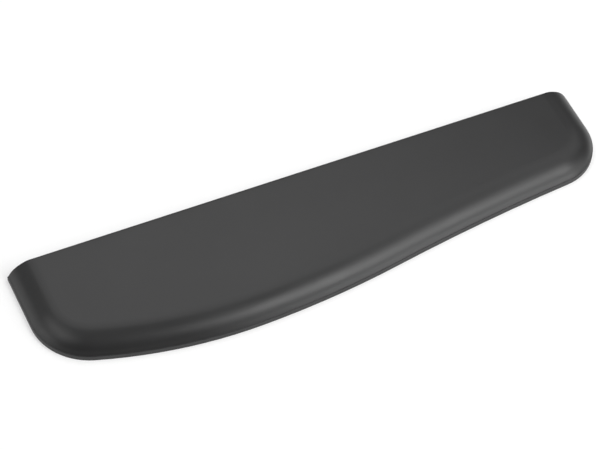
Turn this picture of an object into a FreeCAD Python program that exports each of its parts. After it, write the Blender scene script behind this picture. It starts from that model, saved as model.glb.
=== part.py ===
import FreeCAD, Part
import math
import os

# A gel wrist rest for a full-size keyboard. Millimetres, +Z up.
# +X runs along the rest to the user's right, +Y towards the keyboard.
# The origin is under the middle of the rest, on the surface that it lies on.

# Overall size
LENGTH = 425.0
DEPTH = 101.5
HEIGHT = 15.0

# Front edge, from the left side to the right side: each arc turns the edge by this many
# degrees. The hollow arc turns the other way, and the right corner takes what is left.
LEFT_CORNER_RADIUS = 42.5
LEFT_CORNER_TURN = 72.0
BULGE_RADIUS = 341.0
BULGE_TURN = 19.6
EASE_TURN = 8.5
HOLLOW_RADIUS = 1630.0
HOLLOW_TURN = 5.0
RIGHT_CORNER_RADIUS = 38.0

# Rolled edge of the cover: a quarter of an ellipse, whose springing level lies below the top
# of the base, so that the cover leans inwards from its foot
ROLL_WIDTH = 19.0
SPRINGING_Z = 2.4
REAR_EDGE_RADIUS = 1.0

# Thicknesses of the layers, from the bottom up
BASE_THICKNESS = 3.8
ADHESIVE_THICKNESS = 0.2
BOARD_THICKNESS = 1.8
FILM_THICKNESS = 0.2
GEL_THICKNESS = 4.6
SKIN_THICKNESS = 0.8

# Non-skid base: how far it stands out under the cover, the rounding of its upper edge, and the
# grooves in its underside
COVER_SETBACK = 0.4
LIP_RADIUS = 0.4
GROOVE_BORDER = 7.0
GROOVE_PITCH = 4.5
GROOVE_WIDTH = 1.2
GROOVE_DEPTH = 0.35

# Plan of the inner pieces, measured inwards from the outline
HEM_WIDTH = 12.0
BASE_ADHESIVE_INSET = 2.0
BOARD_INSET = 2.4
BOARD_ADHESIVE_INSET = 3.0
GEL_SIDE_INSET = 22.0
GEL_REAR_INSET = 13.0
GEL_CORNER_RADIUS = 8.0
SEAL_WIDTH = 5.0
CLEARANCE = 0.1

# Levels that follow from the thicknesses
HEM_Z = BASE_THICKNESS + ADHESIVE_THICKNESS
BOARD_TOP_Z = HEM_Z + BOARD_THICKNESS
PACK_Z = BOARD_TOP_Z + ADHESIVE_THICKNESS
GEL_Z = PACK_Z + FILM_THICKNESS
GEL_TOP_Z = GEL_Z + GEL_THICKNESS
PACK_TOP_Z = GEL_TOP_Z + FILM_THICKNESS
ROLL_HEIGHT = HEIGHT - SPRINGING_Z

# Blanks run this far past the rear face and below the springing level before they are cut,
# and edges are found within a tolerance
REAR_OVERRUN = 40.0
FOOT_OVERRUN = 1.0
TOLERANCE = 0.1


def outward(heading):
    """Unit normal on the right-hand side of a path that runs at this heading, in degrees."""
    angle = math.radians(heading)
    return FreeCAD.Vector(math.sin(angle), -math.cos(angle), 0)


def front_arcs():
    """Centre, signed radius and two headings of each arc of the front edge, left to right."""
    turns = [LEFT_CORNER_TURN, BULGE_TURN, EASE_TURN, -HOLLOW_TURN]
    turns.append(180.0 - sum(turns))
    headings = [-90.0]
    for turn in turns:
        headings.append(headings[-1] + turn)
    radii = [LEFT_CORNER_RADIUS, BULGE_RADIUS, 0.0, -HOLLOW_RADIUS, RIGHT_CORNER_RADIUS]
    spans = [outward(b).x - outward(a).x for a, b in zip(headings, headings[1:])]
    # The ease arc has the one radius that brings the edge to the right side
    covered = sum(radius * span for radius, span in zip(radii, spans))
    radii[2] = (LENGTH - covered) / spans[2]
    # The edge is lowest where it runs straight along +X, on the bulge arc
    drop = -LEFT_CORNER_RADIUS * outward(headings[1]).y
    drop += BULGE_RADIUS * (1 + outward(headings[1]).y)
    point = FreeCAD.Vector(-LENGTH / 2, drop - DEPTH / 2, 0)
    arcs = []
    for radius, start, end in zip(radii, headings, headings[1:]):
        centre = point - outward(start) * radius
        arcs.append((centre, radius, start, end))
        point = centre + outward(end) * radius
    return arcs


def outline(inset, rear_inset, rear_radius=0.0):
    """Closed plan outline at z = 0, moved inwards from the driving outline."""
    rear = DEPTH / 2 - rear_inset
    side = LENGTH / 2 - inset
    edges = []
    for centre, radius, start, end in front_arcs():
        reach = radius - inset
        points = [centre + outward(h) * reach for h in (start, (start + end) / 2, end)]
        edges.append(Part.Arc(*points).toShape())
    left_foot = edges[0].Vertexes[0].Point
    right_foot = edges[-1].Vertexes[-1].Point
    left_top = FreeCAD.Vector(-side, rear - rear_radius, 0)
    right_top = FreeCAD.Vector(side, rear - rear_radius, 0)
    edges.append(Part.LineSegment(right_foot, right_top).toShape())
    if rear_radius > 0:
        bevel = rear_radius * (1 - math.sqrt(0.5))
        rear_right = FreeCAD.Vector(side - rear_radius, rear, 0)
        rear_left = FreeCAD.Vector(rear_radius - side, rear, 0)
        right_mid = FreeCAD.Vector(side - bevel, rear - bevel, 0)
        left_mid = FreeCAD.Vector(bevel - side, rear - bevel, 0)
        edges.append(Part.Arc(right_top, right_mid, rear_right).toShape())
        edges.append(Part.LineSegment(rear_right, rear_left).toShape())
        edges.append(Part.Arc(rear_left, left_mid, left_top).toShape())
    else:
        edges.append(Part.LineSegment(right_top, left_top).toShape())
    edges.append(Part.LineSegment(left_top, left_foot).toShape())
    return Part.Wire(edges)


def plate(bottom, top, inset, rear_inset, rear_radius=0.0):
    """Flat plate of the outline's shape between two levels."""
    face = Part.Face(outline(inset, rear_inset, rear_radius))
    return face.extrude(FreeCAD.Vector(0, 0, top - bottom)).translated(FreeCAD.Vector(0, 0, bottom))


def band(bottom, top, rear):
    """Block that holds everything between two levels and in front of a rear plane."""
    corner = FreeCAD.Vector(-LENGTH, rear - 2 * DEPTH, bottom)
    return Part.makeBox(2 * LENGTH, 2 * DEPTH, top - bottom, corner)


def cushion_form(gap, bottom):
    """Body inside the cover's outer surface by gap: flat top, rolled left, front and right edges."""
    roll_width = ROLL_WIDTH - gap
    squash = (ROLL_HEIGHT - gap) / roll_width
    overrun_below = FOOT_OVERRUN / squash
    blank = plate(-overrun_below, roll_width, COVER_SETBACK + gap, -REAR_OVERRUN)
    top_edges = [e for e in blank.Edges if e.BoundBox.ZMin > roll_width - TOLERANCE]
    overrun = DEPTH / 2 + REAR_OVERRUN
    rolled_edges = [e for e in top_edges if e.BoundBox.YMin < overrun - TOLERANCE]
    rounded = blank.makeFillet(roll_width, rolled_edges)
    flatten = FreeCAD.Matrix()
    flatten.scale(1, 1, squash)
    form = rounded.transformGeometry(flatten).translated(FreeCAD.Vector(0, 0, SPRINGING_Z))
    rear = DEPTH / 2 - gap
    form = form.common(band(bottom, HEIGHT, rear))
    return round_rear_edge(form, rear, max(REAR_EDGE_RADIUS - gap, CLEARANCE))


def round_rear_edge(form, rear, radius):
    """Small radius along the top of the upright rear face."""
    def on_rear_top(edge):
        box = edge.BoundBox
        return box.YMin > rear - TOLERANCE and box.ZMin > SPRINGING_Z + ROLL_HEIGHT / 2
    edges = [e for e in form.Edges if on_rear_top(e)]
    return form.makeFillet(radius, edges)


def non_skid_base():
    """Rubber sheet under the whole rest, with shallow grooves along its underside."""
    sheet = plate(0, BASE_THICKNESS, 0, 0)
    lip = [e for e in sheet.Edges if e.BoundBox.ZMin > BASE_THICKNESS - TOLERANCE]
    sheet = sheet.makeFillet(LIP_RADIUS, lip)
    field = plate(0, GROOVE_DEPTH, GROOVE_BORDER, GROOVE_BORDER, GROOVE_BORDER)
    count = int((DEPTH - 2 * GROOVE_BORDER) / GROOVE_PITCH)
    grooves = []
    for index in range(count):
        y = (index - (count - 1) / 2) * GROOVE_PITCH - GROOVE_WIDTH / 2
        corner = FreeCAD.Vector(-LENGTH / 2, y, 0)
        groove = Part.makeBox(LENGTH, GROOVE_WIDTH, GROOVE_DEPTH, corner)
        grooves.append(groove.common(field))
    return sheet.cut(grooves)


def base_adhesive():
    """Double-sided film that bonds the rubber sheet to the hem and the board."""
    return plate(BASE_THICKNESS, HEM_Z, BASE_ADHESIVE_INSET, BASE_ADHESIVE_INSET)


def base_board():
    """Stiff plastic board, rebated underneath for the cover's turned-under hem."""
    rebate = SKIN_THICKNESS + CLEARANCE
    core_inset = HEM_WIDTH + CLEARANCE
    core = plate(HEM_Z, HEM_Z + rebate, core_inset, core_inset)
    upper = plate(HEM_Z + rebate, BOARD_TOP_Z, BOARD_INSET, rebate)
    return core.fuse(upper).removeSplitter()


def board_adhesive():
    """Double-sided film that holds the gel pack and the foam on the board."""
    return plate(BOARD_TOP_Z, PACK_Z, BOARD_ADHESIVE_INSET, BOARD_ADHESIVE_INSET)


def gel_plate(bottom, top, growth):
    """Plate of the gel pad's plan, grown outwards on every side."""
    radius = GEL_CORNER_RADIUS + growth
    return plate(bottom, top, GEL_SIDE_INSET - growth, GEL_REAR_INSET - growth, radius)


def gel_film_lower():
    """Flat film under the gel, as wide as the heat-sealed rim."""
    return gel_plate(PACK_Z, GEL_Z, SEAL_WIDTH)


def gel_pad():
    """Soft gel slab."""
    return gel_plate(GEL_Z, GEL_TOP_Z, 0)


def gel_film_upper():
    """Formed film over the gel, with a rim that is sealed to the lower film."""
    dome = gel_plate(GEL_Z, PACK_TOP_Z, FILM_THICKNESS)
    rim = gel_plate(GEL_Z, GEL_Z + FILM_THICKNESS, SEAL_WIDTH)
    return dome.fuse(rim).cut(gel_pad()).removeSplitter()


def foam_surround():
    """Firm foam that forms the rolled edge, with a pocket for the gel pack."""
    form = cushion_form(SKIN_THICKNESS + CLEARANCE, PACK_Z)
    body = form.common(band(PACK_Z, PACK_TOP_Z, DEPTH))
    pocket = gel_plate(PACK_Z, PACK_TOP_Z, FILM_THICKNESS + CLEARANCE)
    rim_rebate = gel_plate(PACK_Z, GEL_Z + FILM_THICKNESS + CLEARANCE, SEAL_WIDTH + CLEARANCE)
    return body.cut(pocket.fuse(rim_rebate))


def comfort_foam():
    """Soft foam sheet between the gel pack and the skin."""
    form = cushion_form(SKIN_THICKNESS + CLEARANCE, PACK_Z)
    return form.common(band(PACK_TOP_Z, HEIGHT, DEPTH))


def cover_skin():
    """Leather-like skin over the top and sides, with a hem turned under the board."""
    outside = cushion_form(0, HEM_Z)
    inside = cushion_form(SKIN_THICKNESS, HEM_Z + SKIN_THICKNESS)
    mouth = plate(HEM_Z, HEM_Z + SKIN_THICKNESS, HEM_WIDTH, HEM_WIDTH)
    return outside.cut(inside).cut(mouth)


PARTS = {
    "non_skid_base": non_skid_base,
    "base_adhesive": base_adhesive,
    "base_board": base_board,
    "board_adhesive": board_adhesive,
    "gel_film_lower": gel_film_lower,
    "gel_pad": gel_pad,
    "gel_film_upper": gel_film_upper,
    "foam_surround": foam_surround,
    "comfort_foam": comfort_foam,
    "cover_skin": cover_skin,
}

os.makedirs("parts", exist_ok=True)
for name, make in PARTS.items():
    shape = make()
    print(name, "valid", shape.isValid(), "solids", len(shape.Solids), "cm3", round(shape.Volume / 1000, 2))
    shape.exportStep("parts/" + name + ".step")
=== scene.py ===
import math

import bpy
import numpy as np
from mathutils import Matrix, Vector
from mathutils.kdtree import KDTree


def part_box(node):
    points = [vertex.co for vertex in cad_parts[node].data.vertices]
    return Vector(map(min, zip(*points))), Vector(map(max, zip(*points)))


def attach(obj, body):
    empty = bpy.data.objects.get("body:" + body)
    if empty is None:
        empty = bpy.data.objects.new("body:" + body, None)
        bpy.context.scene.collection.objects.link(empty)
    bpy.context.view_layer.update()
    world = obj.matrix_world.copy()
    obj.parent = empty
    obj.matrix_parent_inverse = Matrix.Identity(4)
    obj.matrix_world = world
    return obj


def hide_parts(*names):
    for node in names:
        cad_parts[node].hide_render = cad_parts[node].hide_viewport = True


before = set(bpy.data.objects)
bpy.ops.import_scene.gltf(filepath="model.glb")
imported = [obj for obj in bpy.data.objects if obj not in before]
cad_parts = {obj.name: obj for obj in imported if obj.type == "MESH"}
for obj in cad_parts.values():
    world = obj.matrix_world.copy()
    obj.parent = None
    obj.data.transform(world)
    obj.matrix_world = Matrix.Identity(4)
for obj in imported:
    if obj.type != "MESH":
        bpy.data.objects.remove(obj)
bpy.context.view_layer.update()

# A gel wrist rest. Metres, in the model's own frame: +X to the user's right, +Y towards the
# keyboard, +Z up from the surface that the rest lies on.
MM = 0.001

# Places that come from the frame
COVER_LOW, COVER_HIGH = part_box("cover_skin")
BASE_LOW, BASE_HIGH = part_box("non_skid_base")
SHEET_LOW, SHEET_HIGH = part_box("comfort_foam")
SURROUND_LOW, SURROUND_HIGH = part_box("foam_surround")
GEL_LOW, GEL_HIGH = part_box("gel_pad")
SEAL_LOW, SEAL_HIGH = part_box("gel_film_lower")
LENGTH = BASE_HIGH.x - BASE_LOW.x
REAR = BASE_HIGH.y
GEL_SIDE_INSET = BASE_HIGH.x - GEL_HIGH.x
GEL_REAR_INSET = REAR - GEL_HIGH.y
SEAL_WIDTH = SEAL_HIGH.x - GEL_HIGH.x
SEAL_THICKNESS = SEAL_HIGH.z - SEAL_LOW.z

# The front edge of the plan, from left to right, as in the frame: tangent arcs
LEFT_CORNER_RADIUS = 42.5 * MM
LEFT_CORNER_TURN = 72.0
BULGE_RADIUS = 341.0 * MM
BULGE_TURN = 19.6
EASE_TURN = 8.5
HOLLOW_RADIUS = 1630.0 * MM
HOLLOW_TURN = 5.0
RIGHT_CORNER_RADIUS = 38.0 * MM

# The cover's section: a rolled edge, with a straight flank drawn down to the base
ROLL_WIDTH = 19.0 * MM
ROLL_FULLNESS = 1.85
SPRINGING_Z = 2.4 * MM
FLANK_TOP_Z = 6.5 * MM
SETBACK = 0.4 * MM
ROLL_HEIGHT = COVER_HIGH.z - SPRINGING_Z
SKIN = 0.8 * MM
EDGE_RADIUS = 1.0 * MM
HEM_RADIUS = 0.2 * MM
HEM_WIDTH = 12.0 * MM
SMALLEST_RADIUS = 0.2 * MM
GEL_CORNER_RADIUS = 8.0 * MM
CLEARANCE = 0.1 * MM

# The filling: how far it lifts the top of the cover, and how its simulation runs and is smoothed
CROWN = 0.7 * MM
SMOOTHING_ROUNDS = 60
SIMULATED_FRAMES = 20
HELD_REAR = 1.5 * EDGE_RADIUS

# Segments of the plan's loop: its sides, its front, and the halves of its corners
SMALL_CORNER_STEPS = 4
BIG_CORNER_STEPS = 14
SIDE_STEPS = 20
FRONT_STEPS = {"bulge": 56, "ease": 52, "hollow": 66}
DEEP_STEPS = SMALL_CORNER_STEPS + SIDE_STEPS + BIG_CORNER_STEPS
LONG_STEPS = 2 * BIG_CORNER_STEPS + sum(FRONT_STEPS.values())
REAR_STEPS = LONG_STEPS - 2 * SMALL_CORNER_STEPS


# ---------------------------------------------------------------- plan outline

def outward(heading):
    """Unit normals on the right of a path that runs at these headings, in degrees."""
    angle = np.radians(heading)
    return np.stack([np.sin(angle), -np.cos(angle)], axis=-1)


def front_arcs():
    """Centre, signed radius and two headings of each arc of the front edge, left to right."""
    turns = [LEFT_CORNER_TURN, BULGE_TURN, EASE_TURN, -HOLLOW_TURN]
    turns.append(180.0 - sum(turns))
    headings = np.cumsum([-90.0] + turns)
    normals = outward(headings)
    radii = [LEFT_CORNER_RADIUS, BULGE_RADIUS, 0.0, -HOLLOW_RADIUS, RIGHT_CORNER_RADIUS]
    spans = np.diff(normals[:, 0])
    radii[2] = (LENGTH - np.dot(radii, spans)) / spans[2]
    drop = BULGE_RADIUS * (1 + normals[1, 1]) - LEFT_CORNER_RADIUS * normals[1, 1]
    point = np.array([-LENGTH / 2, drop - REAR])
    arcs = []
    for index, radius in enumerate(radii):
        centre = point - normals[index] * radius
        arcs.append((centre, radius, headings[index], headings[index + 1]))
        point = centre + normals[index + 1] * radius
    return arcs


def run(start, end, steps):
    """Points from start towards end, without end."""
    share = np.arange(steps)[:, None] / steps
    return np.asarray(start) * (1 - share) + np.asarray(end) * share


def sweep(centre, radius, start, end, steps):
    """Points along an arc from one heading towards another, without the last."""
    return centre + outward(start + (end - start) * np.arange(steps) / steps) * radius


def plan_loop(inset, rear_inset, rear_radius):
    """Closed loop of the plan, moved inwards, from the middle of the rear left corner."""
    side = LENGTH / 2 - inset
    rear = REAR - rear_inset
    left, bulge, ease, hollow, right = [
        (centre, radius - inset, start, end) for centre, radius, start, end in front_arcs()
    ]
    left_middle = (left[2] + left[3]) / 2
    right_middle = (right[2] + right[3]) / 2
    rear_left = np.array([rear_radius - side, rear - rear_radius])
    rear_right = np.array([side - rear_radius, rear - rear_radius])
    left_foot = left[0] + outward(left[2]) * left[1]
    right_foot = right[0] + outward(right[3]) * right[1]
    return np.vstack([
        sweep(rear_left, rear_radius, -135, -90, SMALL_CORNER_STEPS),
        run((-side, rear - rear_radius), left_foot, SIDE_STEPS),
        sweep(left[0], left[1], left[2], left_middle, BIG_CORNER_STEPS),
        sweep(left[0], left[1], left_middle, left[3], BIG_CORNER_STEPS),
        sweep(*bulge, FRONT_STEPS["bulge"]),
        sweep(*ease, FRONT_STEPS["ease"]),
        sweep(*hollow, FRONT_STEPS["hollow"]),
        sweep(right[0], right[1], right[2], right_middle, BIG_CORNER_STEPS),
        sweep(right[0], right[1], right_middle, right[3], BIG_CORNER_STEPS),
        run(right_foot, (side, rear - rear_radius), SIDE_STEPS),
        sweep(rear_right, rear_radius, 90, 135, SMALL_CORNER_STEPS),
        sweep(rear_right, rear_radius, 135, 180, SMALL_CORNER_STEPS),
        run((side - rear_radius, rear), (rear_radius - side, rear), REAR_STEPS),
        sweep(rear_left, rear_radius, 180, 225, SMALL_CORNER_STEPS),
    ])


def patch(loop):
    """Grid of points that fills a plan loop: a Coons patch, (DEEP + 1) by (LONG + 1)."""
    ring = np.vstack([loop, loop[:1]])
    left = ring[:DEEP_STEPS + 1]
    front = ring[DEEP_STEPS:DEEP_STEPS + LONG_STEPS + 1]
    right = ring[DEEP_STEPS + LONG_STEPS:2 * DEEP_STEPS + LONG_STEPS + 1][::-1]
    rear = ring[2 * DEEP_STEPS + LONG_STEPS:][::-1]
    v = np.linspace(0, 1, DEEP_STEPS + 1)[:, None, None]
    u = np.linspace(0, 1, LONG_STEPS + 1)[None, :, None]
    ruled_deep = (1 - v) * rear[None] + v * front[None]
    ruled_long = (1 - u) * left[:, None] + u * right[:, None]
    at_rear = (1 - u) * rear[0] + u * rear[-1]
    at_front = (1 - u) * front[0] + u * front[-1]
    return ruled_deep + ruled_long - (1 - v) * at_rear - v * at_front


# ---------------------------------------------------------------- meshes

def grid_rim():
    """Indices of a patch's points as a grid, and those of its rim in the order of the plan loop."""
    index = np.arange((DEEP_STEPS + 1) * (LONG_STEPS + 1)).reshape(DEEP_STEPS + 1, LONG_STEPS + 1)
    sides = [index[:-1, 0], index[-1, :-1], index[::-1, -1][:-1], index[0, ::-1][:-1]]
    return index, np.concatenate(sides)


class Loft:
    """Mesh built from plan loops stacked on one another, with filled caps where it is closed.

    A level is an inset from the outline, one from the rear, a rear corner radius and a height.
    """

    def __init__(self):
        self.points = []
        self.faces = []

    def add_points(self, plan, height):
        first = len(self.points)
        self.points.extend((x, y, height) for x, y in plan.reshape(-1, 2))
        return np.arange(first, len(self.points))

    def loop(self, level):
        inset, rear_inset, rear_radius, height = level
        return self.add_points(plan_loop(inset, rear_inset, rear_radius), height)

    def cap(self, level, facing_up):
        """Filled loop; returns the indices of its rim."""
        inset, rear_inset, rear_radius, height = level
        made = self.add_points(patch(plan_loop(inset, rear_inset, rear_radius)), height)
        index, rim = grid_rim()
        quads = [index[:-1, :-1], index[1:, :-1], index[1:, 1:], index[:-1, 1:]]
        corners = np.stack([made[quad.ravel()] for quad in quads], axis=1)
        self.faces.extend(corners.tolist() if facing_up else corners[:, ::-1].tolist())
        return made[rim]

    def strips(self, loops):
        """Quads between each loop and the next; they face outwards where the loops go up."""
        for lower, upper in zip(loops, loops[1:]):
            sides = [lower, np.roll(lower, -1), np.roll(upper, -1), upper]
            self.faces.extend(np.stack(sides, axis=1).tolist())

    def build(self, name):
        mesh = bpy.data.meshes.new(name)
        mesh.from_pydata(self.points, [], self.faces)
        mesh.validate()
        mesh.shade_smooth()
        made = bpy.data.objects.new(name, mesh)
        bpy.context.scene.collection.objects.link(made)
        return made


def quarter_turns(steps):
    return [math.pi / 2 * step / steps for step in range(steps + 1)]


def round_up(radius, base, inset, rear_inset, rear_radius, steps):
    """Levels that round a bottom edge, from the flat underside up to the upright wall."""
    return [
        (inset + radius * (1 - math.sin(turn)), rear_inset + radius * (1 - math.sin(turn)),
         rear_radius, base + radius * (1 - math.cos(turn)))
        for turn in quarter_turns(steps)
    ]


def round_over(radius, top, inset, rear_inset, rear_radius, steps):
    """Levels that round a top edge, from the upright wall up to the flat top."""
    return [
        (inset + radius * (1 - math.cos(turn)), rear_inset + radius * (1 - math.cos(turn)),
         rear_radius, top - radius * (1 - math.sin(turn)))
        for turn in quarter_turns(steps)
    ]


def roll_inset(gap, z):
    """How far the rolled edge has come inwards at a height, gap inside the cover's surface."""
    width = ROLL_WIDTH - gap
    height = ROLL_HEIGHT - gap
    share = min(1.0, (max(z, FLANK_TOP_Z) - SPRINGING_Z) / height)
    across = (1 - share ** ROLL_FULLNESS) ** (1 / ROLL_FULLNESS)
    inset = SETBACK + gap + width * (1 - across)
    if z < FLANK_TOP_Z:
        lean = width / height * (share / across) ** (ROLL_FULLNESS - 1)
        inset -= (FLANK_TOP_Z - z) * lean
    return inset


def roll_levels(gap, bottom, top, steps):
    """Levels of the flank and the rolled edge between two heights, closest near the top."""
    rear_edge = max(EDGE_RADIUS - gap, SMALLEST_RADIUS)
    crest = SPRINGING_Z + ROLL_HEIGHT - gap
    first, last = [math.acos(min(1.0, (crest - z) / (crest - SPRINGING_Z))) for z in (bottom, top)]
    levels = []
    for step in range(steps + 1):
        turn = first + (last - first) * step / steps
        z = crest - (crest - SPRINGING_Z) * math.cos(turn)
        below_top = min(1.0, max(0.0, (crest - z) / rear_edge))
        rear_pull = rear_edge * (1 - math.sqrt(1 - (1 - below_top) ** 2))
        levels.append((roll_inset(gap, z), gap + rear_pull, rear_edge, z))
    return levels


# ---------------------------------------------------------------- filling under pressure

def coordinates(mesh):
    points = np.empty(len(mesh.vertices) * 3)
    mesh.vertices.foreach_get("co", points)
    return points.reshape(-1, 3)


def move_points(piece, points):
    piece.data.vertices.foreach_set("co", points.ravel())
    piece.data.update()


def smoothed(mesh, moves, firm, rounds):
    """Moves averaged over each point's neighbours, round by round, with the firm points still."""
    edges = np.empty(2 * len(mesh.edges), dtype=np.int32)
    mesh.edges.foreach_get("vertices", edges)
    first, second = edges.reshape(-1, 2).T
    starts = np.concatenate([first, second])
    ends = np.concatenate([second, first])
    neighbours = np.bincount(starts, minlength=len(moves))[:, None]
    for _ in range(rounds):
        totals = [np.bincount(starts, moves[ends, axis], len(moves)) for axis in range(3)]
        moves = (moves + np.stack(totals, axis=1) / neighbours) / 2
        moves[firm] = 0
    return moves


def swell(piece, held_below, rise):
    """Fill a piece by a cloth simulation under pressure, held at its foot and along its rear
    face and edge, and keep it within rise. The filling lets it move outwards only."""
    before = coordinates(piece.data)
    held = piece.vertex_groups.new(name="held")
    firm = (before[:, 2] < held_below) | (before[:, 1] > REAR - HELD_REAR)
    held.add(np.flatnonzero(firm).tolist(), 1.0, "REPLACE")
    cloth = piece.modifiers.new("filling", "CLOTH")
    cloth.settings.quality = 5
    cloth.settings.mass = 0.3
    cloth.settings.use_pressure = True
    cloth.settings.uniform_pressure_force = 4
    cloth.settings.vertex_group_mass = "held"
    cloth.settings.effector_weights.gravity = 0
    cloth.collision_settings.use_collision = False
    cloth.collision_settings.use_self_collision = False
    scene = bpy.context.scene
    for number in range(1, SIMULATED_FRAMES + 1):
        scene.frame_set(number)
    filled = piece.evaluated_get(bpy.context.evaluated_depsgraph_get())
    moves = coordinates(filled.data) - before
    scene.frame_set(1)
    piece.modifiers.remove(cloth)
    piece.vertex_groups.remove(held)
    normals = np.array([vertex.normal[:] for vertex in piece.data.vertices])
    outwards = np.maximum((moves * normals).sum(axis=1, keepdims=True), 0)
    moves = smoothed(piece.data, outwards * normals, firm, SMOOTHING_ROUNDS)
    moves *= rise / np.linalg.norm(moves, axis=1).max()
    move_points(piece, before + moves)
    return before, moves


def follow(piece, points, moves, share):
    """Move a piece under the cover by a share of what the nearest point of the cover moved,
    from none at the piece's underside to all of the share at its top."""
    tree = KDTree(len(points))
    for index, point in enumerate(points):
        tree.insert(point, index)
    tree.balance()
    own = coordinates(piece.data)
    nearest = [tree.find(point)[1] for point in own]
    raised = (own[:, 2:] - own[:, 2].min()) / np.ptp(own[:, 2])
    move_points(piece, own + share * raised * moves[nearest])


# ---------------------------------------------------------------- pieces

def make_cover():
    """Skin over the top and sides, with its hem turned in under the board."""
    loft = Loft()
    underside = COVER_LOW.z
    loops = [loft.loop((HEM_WIDTH, HEM_WIDTH, CLEARANCE, underside))]
    foot = roll_inset(0, underside + HEM_RADIUS)
    hem = round_up(HEM_RADIUS, underside, foot, 0, EDGE_RADIUS, 4)
    levels = roll_levels(0, underside + HEM_RADIUS, COVER_HIGH.z, 30)
    loops += [loft.loop(level) for level in hem + levels[1:-1]]
    loops.append(loft.cap(levels[-1], True))
    loft.strips(loops)
    return loft.build("cover")


def make_comfort_layer():
    """Soft foam sheet that gives the top its crown."""
    loft = Loft()
    levels = roll_levels(SKIN + CLEARANCE, SHEET_LOW.z, SHEET_HIGH.z, 14)
    loops = [loft.cap(levels[0], False)]
    loops += [loft.loop(level) for level in levels[1:-1]]
    loops.append(loft.cap(levels[-1], True))
    loft.strips(loops)
    return loft.build("comfort_layer")


def gel_level(growth, height):
    """Level of the gel pack's plan, grown outwards."""
    return GEL_SIDE_INSET - growth, GEL_REAR_INSET - growth, GEL_CORNER_RADIUS + growth, height


def make_roll_foam():
    """Firm foam ring that carries the rolled edge, with a pocket for the gel pack."""
    loft = Loft()
    levels = roll_levels(SKIN + CLEARANCE, SURROUND_LOW.z, SURROUND_HIGH.z, 14)
    pocket = SEAL_THICKNESS + CLEARANCE
    ledge = SURROUND_LOW.z + 2 * SEAL_THICKNESS + CLEARANCE
    levels.append(gel_level(pocket, SURROUND_HIGH.z))
    levels.append(gel_level(pocket, ledge))
    levels.append(gel_level(SEAL_WIDTH + CLEARANCE, ledge))
    levels.append(gel_level(SEAL_WIDTH + CLEARANCE, SURROUND_LOW.z))
    loops = [loft.loop(level) for level in levels]
    loft.strips(loops + loops[:1])
    return loft.build("roll_foam")


def make_gel_slab():
    """Cast gel slab with softened edges."""
    loft = Loft()
    inset, rear_inset, radius, _ = gel_level(0, 0)
    edge = 1.2 * MM
    levels = round_up(edge, GEL_LOW.z, inset, rear_inset, radius, 6)
    levels += round_over(edge, GEL_HIGH.z, inset, rear_inset, radius, 6)
    loops = [loft.cap(levels[0], False)]
    loops += [loft.loop(level) for level in levels[1:-1]]
    loops.append(loft.cap(levels[-1], True))
    loft.strips(loops)
    return loft.build("gel_slab")


# ---------------------------------------------------------------- materials

class Finish:
    """Procedural material whose tone, roughness and relief all vary over the surface."""

    def __init__(self, name):
        self.material = bpy.data.materials.new(name)
        self.material.use_nodes = True
        self.nodes = self.material.node_tree.nodes
        self.links = self.material.node_tree.links
        self.shader = self.nodes["Principled BSDF"]
        self.place = self.nodes.new("ShaderNodeTexCoord").outputs["Object"]

    def noise(self, size, detail=3):
        """Cloudy noise with features of this size."""
        texture = self.nodes.new("ShaderNodeTexNoise")
        texture.inputs["Scale"].default_value = 1 / size
        texture.inputs["Detail"].default_value = detail
        self.links.new(self.place, texture.inputs["Vector"])
        return texture.outputs["Fac"]

    def cells(self, size, warp):
        """Rounded cells of this size, pushed out of line by a wider noise."""
        push = self.nodes.new("ShaderNodeTexNoise")
        push.inputs["Scale"].default_value = 0.4 / size
        shift = self.nodes.new("ShaderNodeVectorMath")
        shift.operation = "MULTIPLY_ADD"
        shift.inputs[1].default_value = (warp, warp, warp)
        texture = self.nodes.new("ShaderNodeTexVoronoi")
        texture.feature = "SMOOTH_F1"
        texture.inputs["Scale"].default_value = 1 / size
        self.links.new(self.place, push.inputs["Vector"])
        self.links.new(push.outputs["Color"], shift.inputs[0])
        self.links.new(self.place, shift.inputs[2])
        self.links.new(shift.outputs["Vector"], texture.inputs["Vector"])
        return texture.outputs["Distance"]

    def mix(self, first, second, share):
        """First value plus a share of the second."""
        total = self.nodes.new("ShaderNodeMath")
        total.operation = "MULTIPLY_ADD"
        total.inputs[1].default_value = share
        self.links.new(second, total.inputs[0])
        self.links.new(first, total.inputs[2])
        return total.outputs["Value"]

    def tone(self, value, low, high, dark, light):
        """Colour that goes from dark to light as value goes from low to high."""
        ramp = self.nodes.new("ShaderNodeValToRGB")
        ramp.color_ramp.elements[0].position = low
        ramp.color_ramp.elements[1].position = high
        ramp.color_ramp.elements[0].color = (*dark, 1)
        ramp.color_ramp.elements[1].color = (*light, 1)
        self.links.new(value, ramp.inputs["Fac"])
        self.links.new(ramp.outputs["Color"], self.shader.inputs["Base Color"])

    def roughness(self, value, low, high):
        spread = self.nodes.new("ShaderNodeMapRange")
        spread.inputs["From Min"].default_value = 0.3
        spread.inputs["From Max"].default_value = 0.7
        spread.inputs["To Min"].default_value = low
        spread.inputs["To Max"].default_value = high
        self.links.new(value, spread.inputs["Value"])
        self.links.new(spread.outputs["Result"], self.shader.inputs["Roughness"])

    def relief(self, value, depth, strength):
        bump = self.nodes.new("ShaderNodeBump")
        bump.inputs["Strength"].default_value = strength
        bump.inputs["Distance"].default_value = depth
        self.links.new(value, bump.inputs["Height"])
        self.links.new(bump.outputs["Normal"], self.shader.inputs["Normal"])


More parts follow.
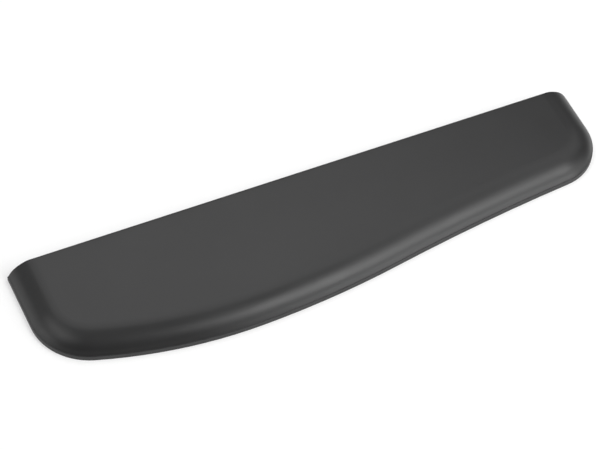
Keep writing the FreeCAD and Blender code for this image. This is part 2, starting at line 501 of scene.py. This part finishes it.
def leatherette():
    """Satin charcoal synthetic leather with a fine pebbled grain."""
    finish = Finish("charcoal_leatherette")
    drift = finish.noise(45 * MM)
    grain = finish.mix(finish.cells(1.1 * MM, 0.5 * MM), finish.noise(0.35 * MM), 0.35)
    dark, light = (0.0065, 0.0065, 0.0067), (0.0105, 0.0105, 0.0108)
    finish.tone(finish.mix(drift, grain, 0.25), 0.3, 0.9, dark, light)
    finish.roughness(finish.mix(drift, finish.noise(6 * MM), 0.2), 0.36, 0.41)
    finish.relief(grain, 0.05 * MM, 0.35)
    return finish.material


def rubber():
    """Black foamed rubber with a close matt texture."""
    finish = Finish("base_rubber")
    speck = finish.noise(0.5 * MM, 5)
    dark, light = (0.015, 0.015, 0.0153), (0.025, 0.025, 0.0256)
    finish.tone(finish.mix(finish.noise(30 * MM), speck, 0.5), 0.5, 1.0, dark, light)
    finish.roughness(speck, 0.45, 0.6)
    finish.relief(finish.mix(speck, finish.cells(1.6 * MM, 0.4 * MM), 0.6), 0.08 * MM, 0.5)
    return finish.material


def board_plastic():
    """Moulded black plastic with a light spark texture."""
    finish = Finish("board_plastic")
    spark = finish.noise(0.8 * MM, 4)
    finish.tone(finish.noise(25 * MM), 0.3, 0.7, (0.04, 0.04, 0.041), (0.06, 0.06, 0.062))
    finish.roughness(spark, 0.42, 0.58)
    finish.relief(spark, 0.03 * MM, 0.4)
    return finish.material


def adhesive():
    """Milky acrylic film with faint flow marks."""
    finish = Finish("adhesive_film")
    flow = finish.noise(9 * MM, 4)
    finish.tone(flow, 0.3, 0.7, (0.68, 0.65, 0.56), (0.80, 0.78, 0.71))
    finish.roughness(flow, 0.3, 0.45)
    finish.relief(finish.noise(2 * MM), 0.02 * MM, 0.3)
    finish.shader.inputs["Transmission Weight"].default_value = 0.2
    return finish.material


def gel_film():
    """Clear polyurethane film, slightly uneven."""
    finish = Finish("gel_film")
    ripple = finish.noise(14 * MM)
    finish.tone(ripple, 0.3, 0.7, (0.80, 0.82, 0.85), (0.88, 0.89, 0.91))
    finish.roughness(ripple, 0.12, 0.22)
    finish.relief(finish.noise(5 * MM), 0.04 * MM, 0.3)
    finish.shader.inputs["Transmission Weight"].default_value = 0.55
    return finish.material


def gel():
    """Translucent blue gel with a cloudy depth."""
    finish = Finish("gel")
    cloud = finish.noise(22 * MM, 4)
    finish.tone(cloud, 0.3, 0.7, (0.26, 0.46, 0.68), (0.40, 0.60, 0.79))
    finish.roughness(cloud, 0.12, 0.2)
    finish.relief(finish.noise(4 * MM), 0.05 * MM, 0.25)
    finish.shader.inputs["Transmission Weight"].default_value = 0.35
    finish.shader.inputs["IOR"].default_value = 1.42
    return finish.material


def foam(name, cell, dark, light):
    """Open-celled foam."""
    finish = Finish(name)
    pores = finish.cells(cell, 0.3 * MM)
    finish.tone(finish.mix(finish.noise(12 * MM), pores, 0.6), 0.4, 1.0, dark, light)
    finish.roughness(pores, 0.85, 0.97)
    finish.relief(pores, 0.25 * MM, 0.8)
    return finish.material


# ---------------------------------------------------------------- stage

CAMERA_AZIMUTH = -27.12
CAMERA_ELEVATION = 51.07
CAMERA_ROLL = 3.49
CAMERA_DISTANCE = 1.8248
CAMERA_TARGET = Vector((-0.0108, REAR - 0.0326, 0))
CAMERA_LENS = 159.0

# Floor and room: how white the table is, how much it glows, and the light from all round
FLOOR_WHITE = 0.55
FLOOR_GLOW = 0.42
ROOM_LIGHT = 0.22

# Name, azimuth, elevation, distance, width and height, power
SOFTBOXES = [
    ("front_right", 38.2, 48.3, 1.99, (0.80, 1.14), 21.0),
    ("left_high", -100.0, 52.0, 2.00, (1.40, 0.90), 8.2),
    ("left_low", -95.0, 18.0, 2.00, (1.20, 1.10), 3.6),
    ("left_strip", -115.0, 11.0, 1.50, (1.60, 0.50), 2.3),
    ("rear", 171.6, 55.2, 1.20, (0.90, 0.85), 3.9),
    ("rear_right", 109.4, 51.9, 1.79, (0.91, 1.54), 5.2),
    ("low_front", 43.7, 16.0, 1.50, (1.92, 0.80), 6.6),
    ("front_strip", 35.0, 7.0, 1.10, (0.70, 0.24), 2.2),
]


def direction(azimuth, elevation):
    """Unit vector from the object to a viewer; azimuth 0 is in front and 90 to the right."""
    a, e = math.radians(azimuth), math.radians(elevation)
    return Vector((math.sin(a) * math.cos(e), -math.cos(a) * math.cos(e), math.sin(e)))


def make_camera():
    data = bpy.data.cameras.new("camera")
    data.lens = CAMERA_LENS
    data.sensor_width = 36
    camera = bpy.data.objects.new("camera", data)
    bpy.context.scene.collection.objects.link(camera)
    back = direction(CAMERA_AZIMUTH, CAMERA_ELEVATION)
    upright = (-back).to_track_quat("-Z", "Y").to_matrix()
    turned = upright @ Matrix.Rotation(math.radians(CAMERA_ROLL), 3, "Z")
    camera.rotation_mode = "QUATERNION"
    camera.rotation_quaternion = turned.to_quaternion()
    camera.location = CAMERA_TARGET + back * CAMERA_DISTANCE
    bpy.context.scene.camera = camera


def make_light(name, azimuth, elevation, distance, size, power):
    data = bpy.data.lights.new(name, "AREA")
    data.shape = "RECTANGLE"
    data.size, data.size_y = size
    data.energy = power
    light = bpy.data.objects.new(name, data)
    bpy.context.scene.collection.objects.link(light)
    toward = direction(azimuth, elevation)
    light.location = toward * distance
    light.rotation_mode = "QUATERNION"
    light.rotation_quaternion = (-toward).to_track_quat("-Z", "Y")
    light.visible_camera = False


def make_floor():
    """Plain white table that is lit a little from below, as in a light tent."""
    mesh = bpy.data.meshes.new("floor")
    half = 4.0
    corners = [(-half, -half, 0), (half, -half, 0), (half, half, 0), (-half, half, 0)]
    mesh.from_pydata(corners, [], [(0, 1, 2, 3)])
    floor = bpy.data.objects.new("floor", mesh)
    bpy.context.scene.collection.objects.link(floor)
    material = bpy.data.materials.new("pale_floor")
    material.use_nodes = True
    shader = material.node_tree.nodes["Principled BSDF"]
    shader.inputs["Base Color"].default_value = (FLOOR_WHITE, FLOOR_WHITE, FLOOR_WHITE, 1)
    shader.inputs["Roughness"].default_value = 0.9
    shader.inputs["Emission Color"].default_value = (1, 1, 1, 1)
    shader.inputs["Emission Strength"].default_value = FLOOR_GLOW
    mesh.materials.append(material)


def make_world():
    world = bpy.data.worlds.new("studio")
    world.use_nodes = True
    background = world.node_tree.nodes["Background"]
    background.inputs["Color"].default_value = (1, 1, 1, 1)
    background.inputs["Strength"].default_value = ROOM_LIGHT
    bpy.context.scene.world = world


make_camera()
make_world()
make_floor()
for softbox in SOFTBOXES:
    make_light(*softbox)
bpy.context.scene.view_settings.view_transform = "Standard"


# ---------------------------------------------------------------- the object

def place(piece, material, node):
    """Give a padded piece its finish and its body, and hide the CAD node that it stands for."""
    piece.data.materials.append(material)
    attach(piece, "root")
    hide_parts(node)


cover = make_cover()
comfort_layer = make_comfort_layer()
points, moves = swell(cover, FLANK_TOP_Z, CROWN)
follow(comfort_layer, points, moves, 0.9)
skin = cover.modifiers.new("skin", "SOLIDIFY")
skin.thickness = SKIN
skin.offset = -1

firm_foam = foam("firm_foam", 0.7 * MM, (0.085, 0.085, 0.09), (0.15, 0.15, 0.155))
soft_foam = foam("soft_foam", 1.0 * MM, (0.60, 0.58, 0.49), (0.80, 0.78, 0.70))
place(cover, leatherette(), "cover_skin")
place(comfort_layer, soft_foam, "comfort_foam")
place(make_roll_foam(), firm_foam, "foam_surround")
place(make_gel_slab(), gel(), "gel_pad")

adhesive_material = adhesive()
film_material = gel_film()
NODE_FINISHES = {
    "non_skid_base": rubber(),
    "base_adhesive": adhesive_material,
    "base_board": board_plastic(),
    "board_adhesive": adhesive_material,
    "gel_film_lower": film_material,
    "gel_film_upper": film_material,
}
for name, material in NODE_FINISHES.items():
    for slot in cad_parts[name].material_slots:
        slot.material = material
